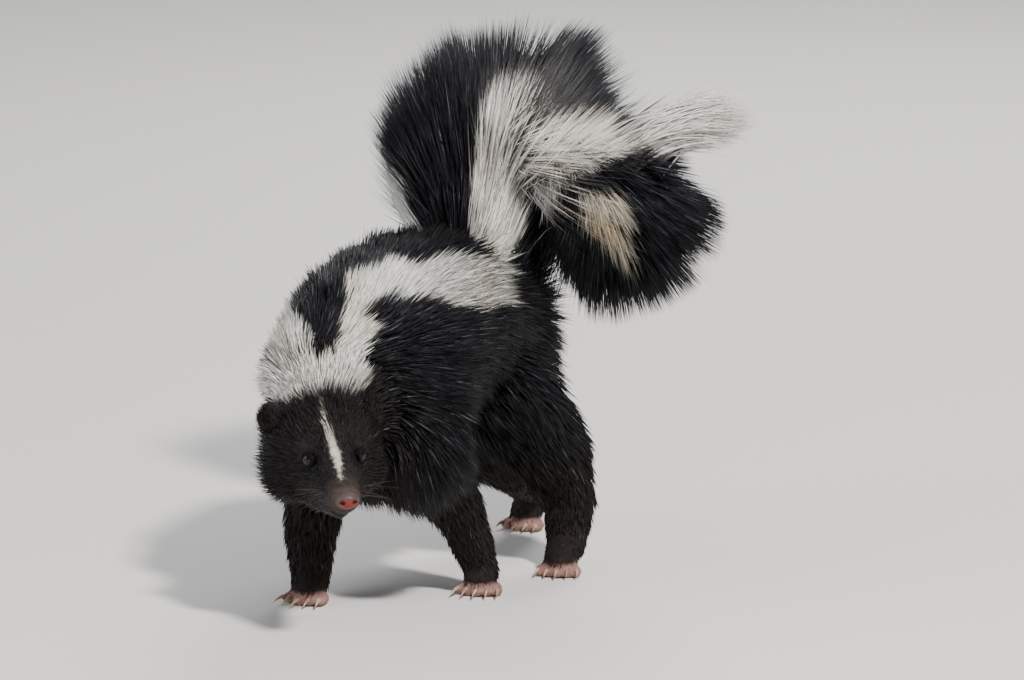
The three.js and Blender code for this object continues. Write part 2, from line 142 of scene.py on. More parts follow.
# Paws: where the toes meet the paw, the way they point in degrees from -Y towards +X, and their reach
PAWS = {
    "foreleg_right": {"at": (-31, -100), "turn": 8, "toe": 8, "claw": 8},
    "foreleg_left": {"at": (30, -30), "turn": 22, "toe": 8, "claw": 8},
    "hindleg_right": {"at": (-42, 106), "turn": 6, "toe": 7, "claw": 5},
    "hindleg_left": {"at": (39, 28), "turn": 26, "toe": 7, "claw": 5},
}
TOES = 5
TOE_SPACING = 4.9
TOE_RADIUS = 3.3
TOE_SPREAD = 7
TOE_SETBACK = 1.7
CLAW_RADIUS = 1.25
CLAW_STEPS = 7
CLAW_SIDES = 8

# The head's own frame and its masses
HEAD_AT = (5, -131, 92)
HEAD_YAW = 50
HEAD_PITCH = 5
HEAD_ROLL = -2
SKULL = ((0, 2, 2), (31, 34, 28))
CHEEK = (17, -4, -9, 16)
MUZZLE = [(0, -10, 2, 23), (0, -35, -5, 14), (0, -52, -9, 10)]
JAW = [(0, -8, -17, 13), (0, -43, -17, 6.5)]
FACE_DEPTH = 3.0
MUZZLE_DEPTH = 1.6
JAW_DEPTH = 1.4
FACE_HAIR = ((0, 12, 40, 75), (1.6, 2.6, 7.0, 16.0))
EYE = (12.4, -29.5, 5.6)
EYE_RADIUS = 3.4
EYE_OUT = (0.7, -0.9, 0.1)
LID_RADIUS = 3.6
LID_BEAD = 0.9
LID_STEPS = 12
NOSE = ((0, -59.5, -8.5), (6.4, 4.8, 4.6))
NOSE_FRONT = ((0, -64, -10), (5.6, 4, 3.2))
NOSTRIL = ((3.1, -63.3, -9.0), (1.5, 2.4, 1.3))
GROOVE_WIDTH = 0.2
GROOVE_BACK = -63.7
EAR = {"at": (27, 1.2, 17.4), "size": (4.3, 6.3, 7.0), "turn": -32, "cup": 2.3}
EAR_SKIN = 0.4
EAR_CUP = 0.74
EAR_ROOM = 13
FACE_ROOM = 9
MOUTH = [
    (0, -59.5, -15.6, 0.9),
    (5.5, -57, -15.4, 0.9),
    (9, -50, -14.6, 0.9),
    (11, -41, -15, 0.9),
    (13.5, -33, -17.5, 0.9),
]
WHISKERS = 14

# Markings, as chains of balls that the white lies inside
NAPE = [(-44, -124, 119, 12), (-30, -130, 128, 13), (-8, -133, 129, 11), (13, -119, 134, 13)]
STRIPE_LEFT = [
    (13, -119, 136, 11),
    (7, -106, 148, 8),
    (1, -99, 165, 8),
    (-1, -86, 172, 12),
    (8, -72, 173, 13),
    (15, -56, 172, 16),
    (20, -44, 171, 17),
    (18, -9, 167, 19),
    (11, 12, 161, 14),
]
STRIPE_RIGHT = [
    (-5, -134, 134, 11),
    (-22, -128, 141, 12),
    (-44, -108, 147, 12),
    (-59, -88, 147, 12),
    (-67, -60, 158, 16),
    (-72, -35, 165, 19),
    (-74, -8, 169, 21),
    (-75, 20, 160, 20),
    (-70, 42, 146, 16),
]
STREAM_LEFT = [
    (-10, 30, 160, 15),
    (-12, 42, 180, 23),
    (-9, 52, 208, 28),
    (-12, 62, 238, 22),
]
STREAM_BRANCH = [
    (0, 52, 212, 25),
    (18, 59, 224, 18),
    (36, 73, 230, 14),
    (50, 88, 233, 7),
]
STREAM_RIGHT = [
    (-62, 56, 150, 12),
    (-88, 62, 172, 16),
    (-104, 66, 192, 16),
]
CREAM_PATCH = [
    (44, 50, 193, 9),
    (54, 52, 191, 13),
    (61, 55, 175, 10),
    (64, 64, 162, 5),
]
BLAZE = [
    (-0.3, 3, 31, 1.1),
    (-0.6, -4, 29.5, 1.5),
    (-1.6, -12, 27.5, 1.7),
    (-2.2, -20, 23.5, 2.1),
    (-1.6, -28, 17.5, 2.4),
    (-0.8, -34, 12.4, 2.5),
    (-0.8, -40, 8, 2.0),
    (-1.2, -48, 3.6, 1.0),
    (-1.5, -53, 1.3, 0.4),
]
STRIPES = (NAPE, STRIPE_LEFT, STRIPE_RIGHT, STREAM_LEFT, STREAM_BRANCH, STREAM_RIGHT)

# Width over which each marking fades into the dark coat
STRIPE_EDGE = 3
BLAZE_EDGE = 1.4
PATCH_EDGE = 6

# The white tuft at the tail's end
TUFT_ROOT = (36, 96, 216)
TUFT_TIPS = [
    (96, 122, 244),
    (96, 126, 236),
    (95, 118, 248),
    (92, 116, 230),
    (84, 122, 250),
    (99, 119, 240),
]
TUFT_BEND = (0.0, 0.0, -0.4)
TUFT_HAIRS = 1500
TUFT_ROOT_SPREAD = 5.5
TUFT_TIP_SPREAD = 4.0
TUFT_WIDTHS = (1.3, 2.3)

# Colours of hair and skin
BLACK = (0.012, 0.012, 0.016)
BROWN = (0.019, 0.013, 0.010)
SNOUT = (0.046, 0.033, 0.029)
TOE_PINK = (0.45, 0.25, 0.215)
NOSE_RED = (0.21, 0.035, 0.03)
NOSE_GREY = (0.085, 0.055, 0.050)
# Grey of the painted sheen on the tips of dark hairs
GREY_SHEEN = (0.10, 0.11, 0.13)
WHITE = (0.95, 0.93, 0.89)
CREAM = (0.70, 0.63, 0.52)
TAN = (0.66, 0.54, 0.37)

TUFTS = {
    "head": (16000, 2, 0.75),
    "body": (60000, 2, 1.3),
    "legs": (16000, 2, 1.1),
    "tail": (33000, 3, 1.2),
    "ear": (1300, 2, 0.7),
}
MOST_TRIANGLES = 190000
TUFT_TAPER = 1.8
TUFT_FLATNESS = 0.6
ROOT_DEPTH = 0.6
COAT_FLOOR = 0.4
CLAW_FLOOR = 0.3

# A part's coat is cut into pieces across this way
PIECE_WAY = (0.3, 1.0, 0.2)

# How many roots share a clump and how far its tips draw together
CLUMPS = {"head": (14, 0.25), "body": (16, 0.4), "legs": (16, 0.3), "tail": (28, 0.5), "ear": (8, 0.2)}

# Where along a hair its root's and its tip's colours are taken, and the share of dark tufts whose tips get a
# painted grey sheen
COLOUR_AT = {
    "head": (0.5, 0.5),
    "body": (0.5, 0.5),
    "legs": (0.5, 0.5),
    "tail": (0.5, 0.9),
    "ear": (0.5, 0.5),
}
PAINTED_SHEEN_SHARE = {"head": 0.02, "body": 0.06, "legs": 0.03, "tail": 0.04, "ear": 0.0}

# How the tail's hairs leave its core along its length: degrees, curl, reach past its outline and raggedness,
# then the ways they are blown and lifted, and how high and how far to the right they may reach
PLUME_SHARES = (0, 0.2, 0.4, 0.6, 0.8, 1)
PLUME_LEAN = (40, 58, 62, 66, 70, 72)
PLUME_CURL = (0.15, 0.22, 0.28, 0.35, 0.45, 0.5)
PLUME_OVER = (0, 8, 14, -14, -2, 8)
PLUME_RAGGED = (3, 12, 11, 4, 3, 3)
PLUME_BLOWN = (-0.7, -0.4, 0.6)
PLUME_LIFTED = (0.6, 0.0, 0.8)
PLUME_TOP = 286.5
PLUME_SIDE = -122

# The unwrap: where each band starts and how high it is, with the step between the limbs' bands, then the size
# of a tuft's patch
TRUNK_BAND = (0.0, 0.44)
TAIL_BAND = (0.45, 0.2)
LIMB_BANDS = (0.66, 0.085, 0.08)
PATCH = 0.003

# Box of the skin and cells of the nets
SKIN_BOX = ((-96, -185, -6), (84, 150, 240))
SKIN_CELL = 2.2
EAR_CELL = 0.7
FINE_CELL = 0.5

# Stage: the floor, each light's place, aim, size, watts and colour, and the colour and strength of daylight
FLOOR_SIZE = 6.0
FLOOR_COLOUR = (0.78, 0.76, 0.73, 1)
LIGHTS = {
    "key": ((1.5, -0.6, 1.9), (0, 0, 0.12), 0.28, 82, (1.0, 0.98, 0.94)),
    "fill": ((-1.2, -1.8, 0.9), (0, 0, 0.12), 1.4, 20, (0.92, 0.96, 1.0)),
    "rim": ((-0.6, 1.7, 1.5), (0, 0, 0.16), 0.9, 30, (1.0, 1.0, 1.0)),
}
DAYLIGHT = ((0.92, 0.94, 1.0, 1), 0.38)

# The camera stands off along this view of the right forepaw's toes and is turned to put them on this pixel
CAMERA_AZIMUTH = 38
CAMERA_ELEVATION = 13.5
CAMERA_DISTANCE = 3500
CAMERA_AIM = (-31, -104, 0)
FOCAL_PIXELS = 6731
AIM_AT_PIXEL = (300, 605)
WIDTH, HEIGHT = 1024, 680
SENSOR = 36


def rotation(yaw, pitch, roll):
    """Turn about Z, then X, then Y, as a matrix for row vectors from the head's frame to the body's."""
    turn = Matrix.Rotation(math.radians(yaw), 3, "Z")
    turn = turn @ Matrix.Rotation(math.radians(pitch), 3, "X")
    turn = turn @ Matrix.Rotation(math.radians(roll), 3, "Y")
    return np.array(turn)


HEAD_TURN = rotation(HEAD_YAW, HEAD_PITCH, HEAD_ROLL)


def into_head(p):
    return (p - np.array(HEAD_AT)) @ HEAD_TURN


def mirrored(q):
    """Points of the head brought over to its left side."""
    return np.abs(q) * (1, 0, 0) + q * (0, 1, 1)


def out_of_head(p):
    return np.asarray(p, float) @ HEAD_TURN.T + np.array(HEAD_AT)


def unit(v):
    return v / np.maximum(np.linalg.norm(v, axis=-1, keepdims=True), 1e-9)


def smooth(t):
    t = np.clip(t, 0, 1)
    return t * t * (3 - 2 * t)


def fading(value, edge, span):
    """From 0 at an edge and beyond it to 1 where the value lies the span below it."""
    return smooth((edge - value) / span)


# Distances
def chain_reach(p, chain, *values):
    """Distance to a chain of balls, with the chain's direction, share and values there."""
    chain = np.asarray(chain, float)
    best = np.full(len(p), 1e9)
    tangent = np.zeros((len(p), 3))
    share = np.zeros(len(p))
    found = [np.zeros(len(p)) for _ in values]
    for n in range(len(chain) - 1):
        a, b = chain[n], chain[n + 1]
        span = b[:3] - a[:3]
        q = p - a[:3]
        h = np.clip(q @ span / (span @ span), 0, 1)
        d = np.linalg.norm(q - h[:, None] * span, axis=1) - a[3] - h * (b[3] - a[3])
        near = d < best
        best = np.where(near, d, best)
        tangent[near] = span / np.linalg.norm(span)
        share = np.where(near, (n + h) / (len(chain) - 1), share)
        for value, result in zip(values, found):
            result[near] = (value[n] + h * (value[n + 1] - value[n]))[near]
    return best, tangent, share, found


def chain_distance(p, chain):
    return chain_reach(p, chain)[0]


def ellipsoid(p, centre, size):
    q = p - np.array(centre, float)
    size = np.array(size, float)
    scaled = np.linalg.norm(q / size, axis=1)
    squared = np.linalg.norm(q / size**2, axis=1)
    return scaled * (scaled - 1) / np.maximum(squared, 1e-9)


def blend(a, b, softness):
    h = np.maximum(softness - np.abs(a - b), 0) / softness
    return np.minimum(a, b) - h * h * softness / 4


def cut(a, b, softness):
    return -blend(-a, b, softness)


def thinned(chain, depth):
    return [(x, y, z, max(r - d, LEAST_RADIUS)) for (x, y, z, r), d in zip(chain, depth)]


SPINE_SKIN = thinned(SPINE, SPINE_DEPTH)
NECK_SKIN = thinned(NECK, NECK_DEPTH)
CHEST_SKIN = thinned(CHEST, CHEST_DEPTH)
PLUME_SKIN = [(x, y, z, r) for (x, y, z, _), r in zip(PLUME, PLUME_CORE)]
LIMB_SKIN = {name: thinned(chain, LIMB_DEPTH) for name, chain in LIMBS.items()}
MUZZLE_SKIN = thinned(MUZZLE, [MUZZLE_DEPTH] * len(MUZZLE))
JAW_SKIN = thinned(JAW, [JAW_DEPTH] * len(JAW))


def toes_of(paw):
    """Centre, way forward and heading of each toe."""
    toes = []
    for n in range(TOES):
        across = n - (TOES - 1) / 2
        spread = math.radians(paw["turn"] + across * TOE_SPREAD)
        turn = math.radians(paw["turn"])
        forward = np.array((math.sin(spread), -math.cos(spread), 0))
        sideways = np.array((math.cos(turn), math.sin(turn), 0))
        centre = np.array((paw["at"][0], paw["at"][1], TOE_RADIUS - 0.6))
        centre = centre + sideways * across * TOE_SPACING - forward * abs(across) * TOE_SETBACK
        toes.append((centre, forward, spread))
    return toes


def head_skin(p):
    q = into_head(p)
    d = ellipsoid(q, SKULL[0], [s - FACE_DEPTH for s in SKULL[1]])
    d = blend(d, chain_distance(q, MUZZLE_SKIN), FACE_BLEND)
    cheek = np.linalg.norm(mirrored(q) - np.array(CHEEK[:3]), axis=1) - CHEEK[3] + FACE_DEPTH
    d = blend(d, cheek, FACE_BLEND)
    d = blend(d, chain_distance(q, JAW_SKIN), JAW_BLEND)
    return cut(d, chain_distance(mirrored(q), MOUTH), 1.5)


def body_skin(p):
    d = chain_distance(p, SPINE_SKIN)
    d = blend(d, chain_distance(p, NECK_SKIN), TRUNK_BLEND)
    d = blend(d, chain_distance(p, CHEST_SKIN), TRUNK_BLEND)
    for limb in LIMB_SKIN.values():
        d = blend(d, chain_distance(p, limb), LIMB_BLEND)
    d = blend(d, chain_distance(p, PLUME_SKIN), TAIL_BLEND)
    d = blend(d, head_skin(p), HEAD_BLEND)
    for paw in PAWS.values():
        for centre, forward, spread in toes_of(paw):
            side = np.array((math.cos(spread), math.sin(spread), 0))
            q = p - centre
            q = np.stack([q @ side, q @ -forward, q[:, 2]], axis=1)
            d = blend(d, ellipsoid(q, (0, 0, 0), (TOE_RADIUS - 0.2, paw["toe"], TOE_RADIUS)), TOE_BLEND)
    return np.maximum(d, SOLE - p[:, 2])


# Meshes
def net_of(distance, low, high, cell):
    """Skin of a distance function in a box: one point in each cell that the surface crosses."""
    low = np.array(low, float)
    counts = np.ceil((np.array(high) - low) / cell).astype(int) + 1
    axes = [low[n] + cell * np.arange(counts[n]) for n in range(3)]
    grid = np.stack(np.meshgrid(*axes, indexing="ij"), axis=-1).reshape(-1, 3)
    value = np.concatenate([distance(part) for part in np.array_split(grid, 24)]).reshape(counts)
    for axis in range(3):
        edge = [slice(None)] * 3
        for end in (0, -1):
            edge[axis] = end
            value[tuple(edge)] = cell
    total = np.zeros((*(counts - 1), 3))
    crossings = np.zeros(counts - 1)
    corner = np.stack(np.meshgrid(*[np.arange(n - 1.0) for n in counts], indexing="ij"), axis=-1)
    edges = []
    for axis in range(3):
        first = np.take(value, range(counts[axis] - 1), axis)
        second = np.take(value, range(1, counts[axis]), axis)
        crossed = (first < 0) != (second < 0)
        t = np.where(crossed, first / np.where(crossed, first - second, 1), 0)
        edges.append((crossed, first < 0))
        u, v = (axis + 1) % 3, (axis + 2) % 3
        for du in (0, 1):
            for dv in (0, 1):
                window = [slice(None)] * 3
                window[u] = slice(du, counts[u] - 1 + du)
                window[v] = slice(dv, counts[v] - 1 + dv)
                hit = crossed[tuple(window)]
                place = corner.copy()
                place[..., axis] += t[tuple(window)]
                place[..., u] += du
                place[..., v] += dv
                total += place * hit[..., None]
                crossings += hit
    used = crossings > 0
    index = np.full(used.shape, -1)
    index[used] = np.arange(used.sum())
    points = low + cell * total[used] / crossings[used][:, None]
    quads = []
    for axis, (crossed, inside) in enumerate(edges):
        u, v = (axis + 1) % 3, (axis + 2) % 3
        at = np.argwhere(crossed)
        step_u = np.eye(3, dtype=int)[u]
        step_v = np.eye(3, dtype=int)[v]
        ring = [index[tuple((at - shift).T)] for shift in (0 * step_u, step_u, step_u + step_v, step_v)]
        ring = np.stack(ring, axis=1)
        flip = ~inside[tuple(at.T)]
        ring[flip] = ring[flip][:, ::-1]
        quads.append(ring)
    return points, np.concatenate(quads)


left, right = np.array(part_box("eye_left"))
SHIFT = (left + right) / 2 - out_of_head(EYE) * 0.001


def to_metres(points):
    return np.asarray(points) * 0.001 + SHIFT


def mesh_object(name, points, faces, material):
    """Mesh object from points in millimetres and faces that all have the same number of corners."""
    points = to_metres(points).astype(np.float32)
    faces = np.asarray(faces, np.int32)
    mesh = bpy.data.meshes.new(name)
    mesh.vertices.add(len(points))
    mesh.vertices.foreach_set("co", points.ravel())
    mesh.loops.add(faces.size)
    mesh.loops.foreach_set("vertex_index", faces.ravel())
    mesh.polygons.add(len(faces))
    mesh.polygons.foreach_set("loop_start", np.arange(0, faces.size, faces.shape[1], dtype=np.int32))
    mesh.polygons.foreach_set("use_smooth", np.full(len(faces), True))
    mesh.update(calc_edges=True)
    mesh.materials.append(material)
    obj = bpy.data.objects.new(name, mesh)
    bpy.context.scene.collection.objects.link(obj)
    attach(obj, "root")
    return obj


def paint(obj, colours):
    """Colour of each point, kept as the mesh's own attribute."""
    layer = obj.data.color_attributes.new("Markings", "FLOAT_COLOR", "POINT")
    rgba = np.ones((len(colours), 4), np.float32)
    rgba[:, :3] = colours
    layer.data.foreach_set("color", rgba.ravel())
    obj.data.color_attributes.active_color = layer


# Materials
def material_with_nodes(name):
    material = bpy.data.materials.new(name)
    material.use_nodes = True
    nodes = material.node_tree.nodes
    return material, nodes, material.node_tree.links, nodes["Principled BSDF"]


def toned_noise(nodes, links, scale, detail, dark, light):
    """Noise with a ramp over it from a dark to a light tone, each given as a place and a colour."""
    place = nodes.new("ShaderNodeTexCoord")
    noise = nodes.new("ShaderNodeTexNoise")
    noise.inputs["Scale"].default_value = scale
    noise.inputs["Detail"].default_value = detail
    ramp = nodes.new("ShaderNodeValToRGB")
    for element, (position, colour) in zip(ramp.color_ramp.elements, (dark, light)):
        element.position = position
        element.color = (*colour, 1)
    links.new(place.outputs["Object"], noise.inputs["Vector"])
    links.new(noise.outputs["Fac"], ramp.inputs["Fac"])
    return place, noise, ramp


def add_relief(nodes, links, shader, height, strength, distance):
    relief = nodes.new("ShaderNodeBump")
    relief.inputs["Strength"].default_value = strength
    relief.inputs["Distance"].default_value = distance
    links.new(height, relief.inputs["Height"])
    links.new(relief.outputs["Normal"], shader.inputs["Normal"])


def coat_material(name, roughness, bump):
    """Hair or haired skin: the colour painted on each point, markings with painted shade and sheen mixed in,
    broken up by fine noise.
    """
    material, nodes, links, shader = material_with_nodes(name)
    _, noise, ramp = toned_noise(nodes, links, 420, 3, (0.3, (0.72, 0.7, 0.68)), (0.75, (1, 1, 1)))
    colour = nodes.new("ShaderNodeVertexColor")
    colour.layer_name = "Markings"
    mix = nodes.new("ShaderNodeMix")
    mix.data_type = "RGBA"
    mix.blend_type = "MULTIPLY"
    mix.inputs["Factor"].default_value = 0.8
    links.new(colour.outputs["Color"], mix.inputs["A"])
    links.new(ramp.outputs["Color"], mix.inputs["B"])
    links.new(mix.outputs["Result"], shader.inputs["Base Color"])
    shader.inputs["Roughness"].default_value = roughness
    shader.inputs["Specular IOR Level"].default_value = 0.22
    if bump:
        add_relief(nodes, links, shader, noise.outputs["Fac"], bump, 0.0006)
    return material


def plain_material(name, dark, light, scale, roughness, bump, specular):
    """A surface whose colour wanders between two tones, with fine relief."""
    material, nodes, links, shader = material_with_nodes(name)
    place, _, ramp = toned_noise(nodes, links, scale, 4, (0.35, dark), (0.65, light))
    links.new(ramp.outputs["Color"], shader.inputs["Base Color"])
    shader.inputs["Roughness"].default_value = roughness
    shader.inputs["Specular IOR Level"].default_value = specular
    if bump:
        cells = nodes.new("ShaderNodeTexVoronoi")
        cells.inputs["Scale"].default_value = scale * 3
        links.new(place.outputs["Object"], cells.inputs["Vector"])
        add_relief(nodes, links, shader, cells.outputs["Distance"], bump, 0.0004)
    return material


fur_material = coat_material("fur", 0.48, 0)
skin_material = coat_material("haired_skin", 0.8, 0.5)
eye_material = plain_material("eye", (0.002, 0.0015, 0.0015), (0.004, 0.0025, 0.002), 300, 0.06, 0, 0.3)
lid_material = plain_material("eyelid", (0.003, 0.002, 0.002), (0.008, 0.006, 0.005), 500, 0.6, 0.3, 0.08)
nose_material = coat_material("nose_leather", 0.45, 0.5)
claw_material = plain_material("claw_horn", (0.36, 0.22, 0.16), (0.58, 0.44, 0.34), 180, 0.35, 0.1, 0.4)
whisker_material = plain_material("whisker", (0.02, 0.02, 0.02), (0.07, 0.06, 0.055), 100, 0.6, 0, 0.2)


# Markings
def wave(p, size, seed):
    """Smooth noise from -1 to 1 that changes over about the given size."""
    phase = np.random.default_rng(seed)
    total = np.zeros(len(p))
    for _ in range(5):
        way = unit(phase.normal(size=3))
        total += np.sin(p @ way * (2 * math.pi / size) * phase.uniform(0.7, 1.4) + phase.uniform(0, 6.3))
    return total / 3.2


def mix(a, b, t):
    t = np.asarray(t, float)[:, None]
    return np.asarray(a, float) * (1 - t) + np.asarray(b, float) * t


def markings(p):
    """Colour of the coat at a place, and how white it is."""
    ragged = wave(p, 9, 3) * 2.2 + wave(p, 3.5, 4)
    stripe = np.min([chain_distance(p, chain) for chain in STRIPES], axis=0) + ragged
    patch = chain_distance(p, CREAM_PATCH) + ragged
    q = into_head(p)
    out = np.linalg.norm(q, axis=1)
    face = fading(q[:, 1], 10, 8) * fading(out, 60, 20)
    blaze = chain_distance(q, BLAZE) + wave(p, 5, 5) * 0.5
    white = fading(stripe, STRIPE_EDGE / 2, STRIPE_EDGE) * (1 - face)
    on_bridge = (q[:, 2] > -8) * (q[:, 1] > -56)
    white = np.maximum(white, fading(blaze, BLAZE_EDGE / 2, BLAZE_EDGE) * on_bridge)
    cream = fading(patch, PATCH_EDGE / 2, PATCH_EDGE)
    white = np.maximum(white, cream)
    brown = np.clip(0.75 * fading(p[:, 2], 78, 30) + 0.6 * fading(out, 62, 22), 0, 0.9)
    dark = mix(BLACK, BROWN, brown)
    snout = fading(np.linalg.norm(q - np.array(NOSE[0]), axis=1), 20, 10)
    dark = dark + (np.array(SNOUT) - dark) * snout[:, None]
    from_eye = np.linalg.norm(mirrored(q) - np.array(EYE), axis=1)
    dark = dark * (1 - 0.75 * fading(from_eye, 11, 6))[:, None]
    yellowed = 0.2 + 0.3 * wave(p, 30, 8) + 0.5 * fading(blaze, BLAZE_EDGE * 1.5, BLAZE_EDGE)
    light = mix(WHITE, CREAM, np.clip(yellowed, 0, 1))
    light = mix(light, TAN, cream * np.clip(0.75 + 0.35 * wave(p, 24, 9), 0, 1))
    return dark * (1 - white[:, None]) + light * white[:, None], white


# Skin
def region_fields(p, normal):
    """How the coat lies over each point of the skin: part, hair length, way along it, lean and depth."""
    q = into_head(p)
    nose = np.array(NOSE[0])
    down = np.array((0, 0, -1.0))
    every = np.ones(len(p))
    parts = []
    reach, tangent, _, (hair, depth) = chain_reach(p, SPINE_SKIN, SPINE_HAIR, SPINE_DEPTH)
    parts.append((reach, tangent + down * SPINE_SAG, hair, depth, every * LEAN["trunk"]))
    reach, tangent, _, (hair, depth) = chain_reach(p, NECK_SKIN, NECK_HAIR, NECK_DEPTH)
    parts.append((reach, -tangent + down * NECK_SAG, hair, depth, every * LEAN["trunk"]))
    reach, tangent, _, (hair,) = chain_reach(p, PLUME_SKIN, PLUME_HAIR)
    parts.append((reach, tangent, hair, hair * 0.7, every * LEAN["tail"]))
    reach, tangent, _, (hair, depth) = chain_reach(p, CHEST_SKIN, CHEST_HAIR, CHEST_DEPTH)
    parts.append((reach, CHEST_LIE + 0 * tangent, hair, depth, every * LEAN["trunk"]))
    for chain in LIMB_SKIN.values():
        reach, tangent, _, (hair, depth) = chain_reach(p, chain, LIMB_HAIR, LIMB_DEPTH)
        parts.append((reach, tangent, hair, depth, every * LEAN["limb"]))
    lie = (q - nose) @ HEAD_TURN.T
    hair = np.interp(np.linalg.norm(q - nose, axis=1), *FACE_HAIR)
    parts.append((head_skin(p), unit(lie), hair, hair * 0.45, every * LEAN["head"]))
    reach = np.stack([part[0] for part in parts])
    weight = np.exp(-(reach - reach.min(axis=0)) / 3.5)
    weight /= weight.sum(axis=0)
    flow = sum(w[:, None] * part[1] for w, part in zip(weight, parts))
    flow = unit(flow - normal * (flow * normal).sum(axis=1, keepdims=True))
    hair, depth, lean = (sum(w * part[n] for w, part in zip(weight, parts)) for n in (2, 3, 4))
    return np.argmin(reach, axis=0), hair, flow, lean, depth


def unwrap(p):
    """Place of each point on an unwrap of the skin: a band for head and trunk, the tail and each limb."""
    trunk = [(*out_of_head(MUZZLE[-1][:3]), 8), (*HEAD_AT, 24), *NECK_SKIN[::-1], *SPINE_SKIN[1:]]
    start, step, height = LIMB_BANDS
    bands = [(trunk, *TRUNK_BAND), (PLUME_SKIN[1:], *TAIL_BAND)]
    bands += [(chain, start + step * n, height) for n, chain in enumerate(LIMB_SKIN.values())]
    best = np.full(len(p), 1e9)
    place = np.zeros((len(p), 2))
    for chain, start, height in bands:
        reach, tangent, share, _ = chain_reach(p, chain)
        ball = share * (len(chain) - 1)
        centre = np.stack([np.interp(ball, range(len(chain)), column) for column in list(zip(*chain))[:3]])
        away = p - centre.T
        across = unit(np.cross(tangent, (0.02, 0.1, 1.0)))
        above = np.cross(across, tangent)
        angle = np.arctan2((away * across).sum(axis=1), (away * above).sum(axis=1)) / (2 * math.pi) + 0.5
        near = reach < best
        place[near, 0] = (0.01 + 0.98 * share)[near]
        place[near, 1] = (start + height * angle)[near]
        best = np.where(near, reach, best)
    return place


points, quads = net_of(body_skin, *SKIN_BOX, SKIN_CELL)
# A negative volume means that all the faces point inwards, and then they are turned round
corner_a, corner_b, corner_c = (points[quads[:, n]] for n in (0, 1, 2))
volume = (corner_a * np.cross(corner_b, corner_c)).sum()
if volume < 0:
    quads = quads[:, ::-1]
skin = mesh_object("skin", points, quads, skin_material)
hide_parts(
    "head",
    "neck",
    "torso",
    "foreleg_right",
    "foreleg_left",
    "hindleg_right",
    "hindleg_left",
    "tail_base",
    "tail_middle",
    "tail_tip",
)

normals = np.zeros(len(points) * 3, np.float32)
skin.data.vertex_normals.foreach_get("vector", normals)
normals = normals.reshape(-1, 3).astype(float)
part, hair, flow, _, depth = region_fields(points, normals)
skin_colour, _ = markings(points + normals * depth[:, None] + flow * hair[:, None] * 0.3)
reach = np.min([np.linalg.norm(points[:, :2] - np.array(paw["at"]), axis=1) for paw in PAWS.values()], axis=0)
bare = fading(points[:, 2], 8.5, 3) * fading(reach, 20, 6)
in_head = into_head(points)
nose_gap = ellipsoid(in_head, *NOSE)
mouth_gap = chain_distance(mirrored(in_head), MOUTH)
skin_colour = mix(NOSE_GREY, skin_colour, smooth((nose_gap - 0.3) / 3.6))
# Painted shade: the skin in the mouth's crease is darkened to about a sixth of its colour
skin_colour = skin_colour * (0.15 + 0.85 * smooth(mouth_gap / 1.2))[:, None]
toe_skin = np.array(TOE_PINK) * (0.85 + 0.15 * wave(points, 4, 9))[:, None]
# Painted shade: the haired skin is painted a fifth darker than its hair, for the shade under the coat; bare
# toe skin keeps its pink
skin_colour = skin_colour * 0.8 * (1 - bare[:, None] * 0.85) + toe_skin * bare[:, None] * 0.85
paint(skin, np.clip(skin_colour, 0, 1))


# Coat
def root_places(surface, count, density):
    """Random places on a surface, more of them where density is high: each point and its normal."""
    points, quads, normals = surface
    triangles = np.concatenate([quads[:, (0, 1, 2)], quads[:, (0, 2, 3)]])
    a, b, c = (points[triangles[:, n]] for n in range(3))
    area = np.linalg.norm(np.cross(b - a, c - a), axis=1) * density[triangles].mean(axis=1)
    chosen = triangles[rng.choice(len(triangles), count, p=area / area.sum())]
    share = np.sort(rng.random((count, 2)), axis=1)
    share = np.stack([share[:, 0], share[:, 1] - share[:, 0], 1 - share[:, 1]], axis=1)[..., None]
    return (points[chosen] * share).sum(axis=1), unit((normals[chosen] * share).sum(axis=1))


def clumped(tips, roots, size, pull):
    """Tips drawn together in clumps about the given size across at the root."""
    seeds = roots[rng.choice(len(roots), max(2, int(len(roots) / size)), replace=False)]
    tree = kdtree.KDTree(len(seeds))
    for n, seed in enumerate(seeds):
        tree.insert(seed, n)
    tree.balance()
    owner = np.array([tree.find(root)[1] for root in roots])
    centre = np.zeros((len(seeds), 3))
    np.add.at(centre, owner, tips)
    centre /= np.maximum(np.bincount(owner, minlength=len(seeds)), 1)[:, None]
    return tips + (centre[owner] - tips) * pull[:, None]


